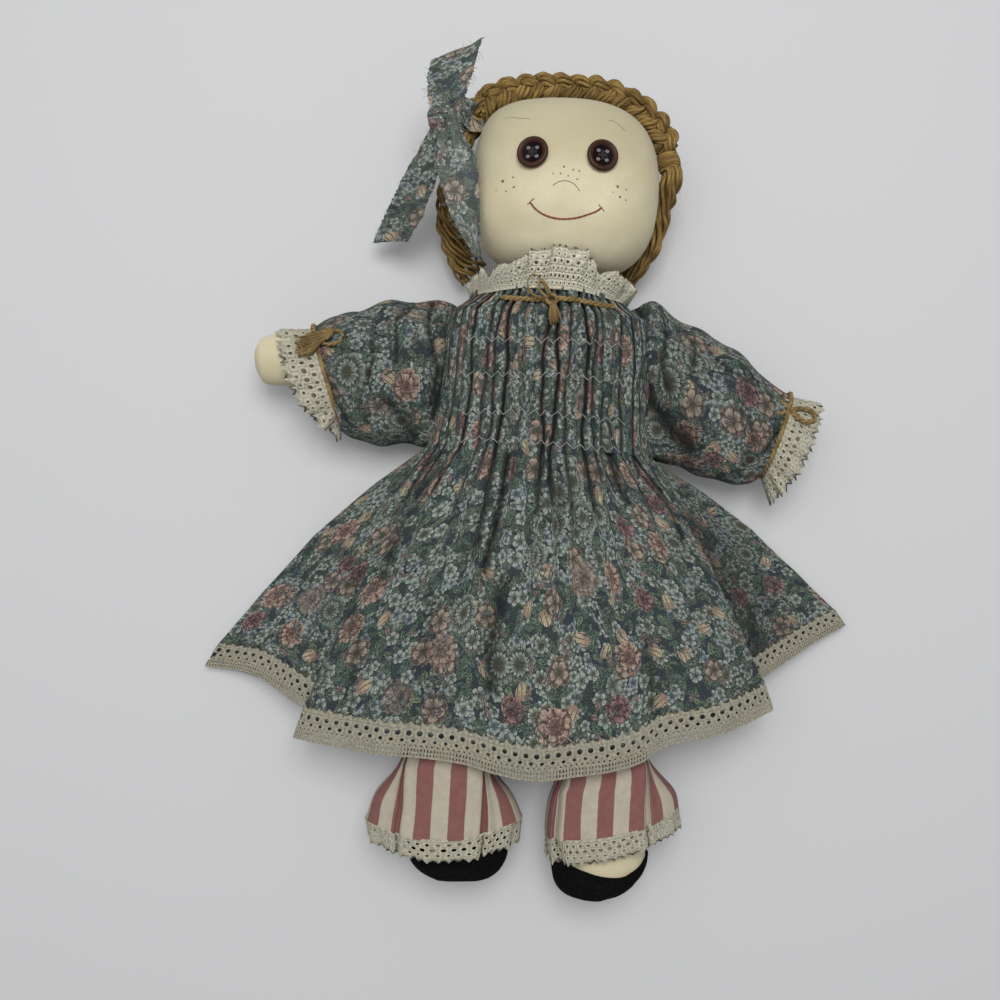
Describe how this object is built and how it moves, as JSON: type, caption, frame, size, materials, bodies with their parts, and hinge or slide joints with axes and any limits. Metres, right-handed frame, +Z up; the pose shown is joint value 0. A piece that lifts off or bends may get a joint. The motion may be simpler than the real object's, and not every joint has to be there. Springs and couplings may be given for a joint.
{
  "type": "rag doll",
  "caption": "Stuffed cloth rag doll with button eyes, a twine braid, a smocked floral dress with lace, striped bloomers and black cloth shoes, lying on its back.",
  "frame": {"origin": "under the middle of the bodice back, on the surface that the doll lies on", "axes": "+Y towards the head, +Z up, the way the face looks, +X towards the doll's left hand"},
  "size_m": [0.263, 0.3333, 0.058],
  "materials": {
    "muslin": "unbleached plain-weave cotton, matt",
    "stuffing": "loose polyester fibre",
    "print": "dark teal cotton with a small floral print, matt",
    "lace": "cream cotton lace with eyelets",
    "twine": "golden brown jute twine",
    "stripes": "cotton with pink and cream stripes",
    "shoe_cloth": "black felt-like cloth, matt",
    "button": "dark brown, polished",
    "thread": "white sewing thread",
    "dark_thread": "dark brown sewing thread"
  },
  "bodies": {
    "torso": {"torso_front_panel": "muslin", "torso_back_panel": "muslin", "torso_stuffing": "stuffing", "bodice_front": "print", "bodice_back": "print", "smocking_row_1": "thread", "smocking_row_2": "thread", "smocking_row_3": "thread", "smocking_row_4": "thread", "collar_lace": "lace", "neck_drawstring": "twine"},
    "neck": {"neck_cloth": "muslin", "neck_stuffing": "stuffing"},
    "head": {"face_panel": "muslin", "head_back_panel": "muslin", "head_stuffing": "stuffing", "button_eye_left": "button", "eye_thread_left": "dark_thread", "button_eye_right": "button", "eye_thread_right": "dark_thread", "braid_strand_a": "twine", "braid_strand_b": "twine", "braid_strand_c": "twine", "hair_wrap_left": "twine", "hair_wrap_right": "twine", "hair_tail_left": "twine", "hair_tail_right": "twine", "ribbon_knot": "print", "ribbon_end_upper": "print", "ribbon_end_lower": "print", "ribbon_face_strip": "print"},
    "hips": {"skirt_front": "print", "skirt_back": "print", "hem_lace": "lace", "bloomers_seat": "stripes"},
    "arm_left": {"arm_cloth_left": "muslin", "arm_stuffing_left": "stuffing", "sleeve_left": "print", "cuff_lace_left": "lace", "cuff_cord_left": "twine"},
    "leg_left": {"leg_cloth_left": "muslin", "leg_stuffing_left": "stuffing", "shoe_left": "shoe_cloth", "bloomers_leg_left": "stripes", "bloomers_lace_left": "lace", "gather_thread_left": "thread"},
    "arm_right": {"arm_cloth_right": "muslin", "arm_stuffing_right": "stuffing", "sleeve_right": "print", "cuff_lace_right": "lace", "cuff_cord_right": "twine"},
    "leg_right": {"leg_cloth_right": "muslin", "leg_stuffing_right": "stuffing", "shoe_right": "shoe_cloth", "bloomers_leg_right": "stripes", "bloomers_lace_right": "lace", "gather_thread_right": "thread"}
  },
  "joints": [
    {"name": "neck_nod", "type": "hinge", "parent": "torso", "child": "neck", "pos_m": [0, 0.0309, 0.0225], "axis": [1, 0, 0], "range_deg": [-25, 30], "deforming": ["collar_lace", "hair_tail_left", "hair_tail_right", "ribbon_face_strip"]},
    {"name": "head_tilt", "type": "hinge", "parent": "neck", "child": "head", "pos_m": [0, 0.0309, 0.0225], "axis": [0, 0, 1], "range_deg": [-12, 12], "deforming": ["hair_tail_left", "hair_tail_right", "ribbon_face_strip", "ribbon_end_lower", "collar_lace"]},
    {"name": "arm_left_lift", "type": "hinge", "parent": "torso", "child": "arm_left", "pos_m": [0.046, 0.0026, 0.0185], "axis": [0, -1, 0], "range_deg": [-20, 85], "deforming": ["sleeve_left"]},
    {"name": "arm_right_lift", "type": "hinge", "parent": "torso", "child": "arm_right", "pos_m": [-0.0465, 0.0048, 0.0185], "axis": [0, 1, 0], "range_deg": [-20, 85], "deforming": ["sleeve_right"]},
    {"name": "sit_fold", "type": "hinge", "parent": "torso", "child": "hips", "pos_m": [0, -0.0758, 0.0185], "axis": [-1, 0, 0], "range_deg": [-15, 90], "deforming": ["skirt_front", "skirt_back", "hem_lace", "bloomers_seat"]},
    {"name": "leg_left_spread", "type": "hinge", "parent": "hips", "child": "leg_left", "pos_m": [0.0217, -0.0758, 0.0185], "axis": [0, 0, 1], "range_deg": [0, 12]},
    {"name": "leg_right_spread", "type": "hinge", "parent": "hips", "child": "leg_right", "pos_m": [-0.0191, -0.0758, 0.0185], "axis": [0, 0, -1], "range_deg": [0, 12]}
  ]
}
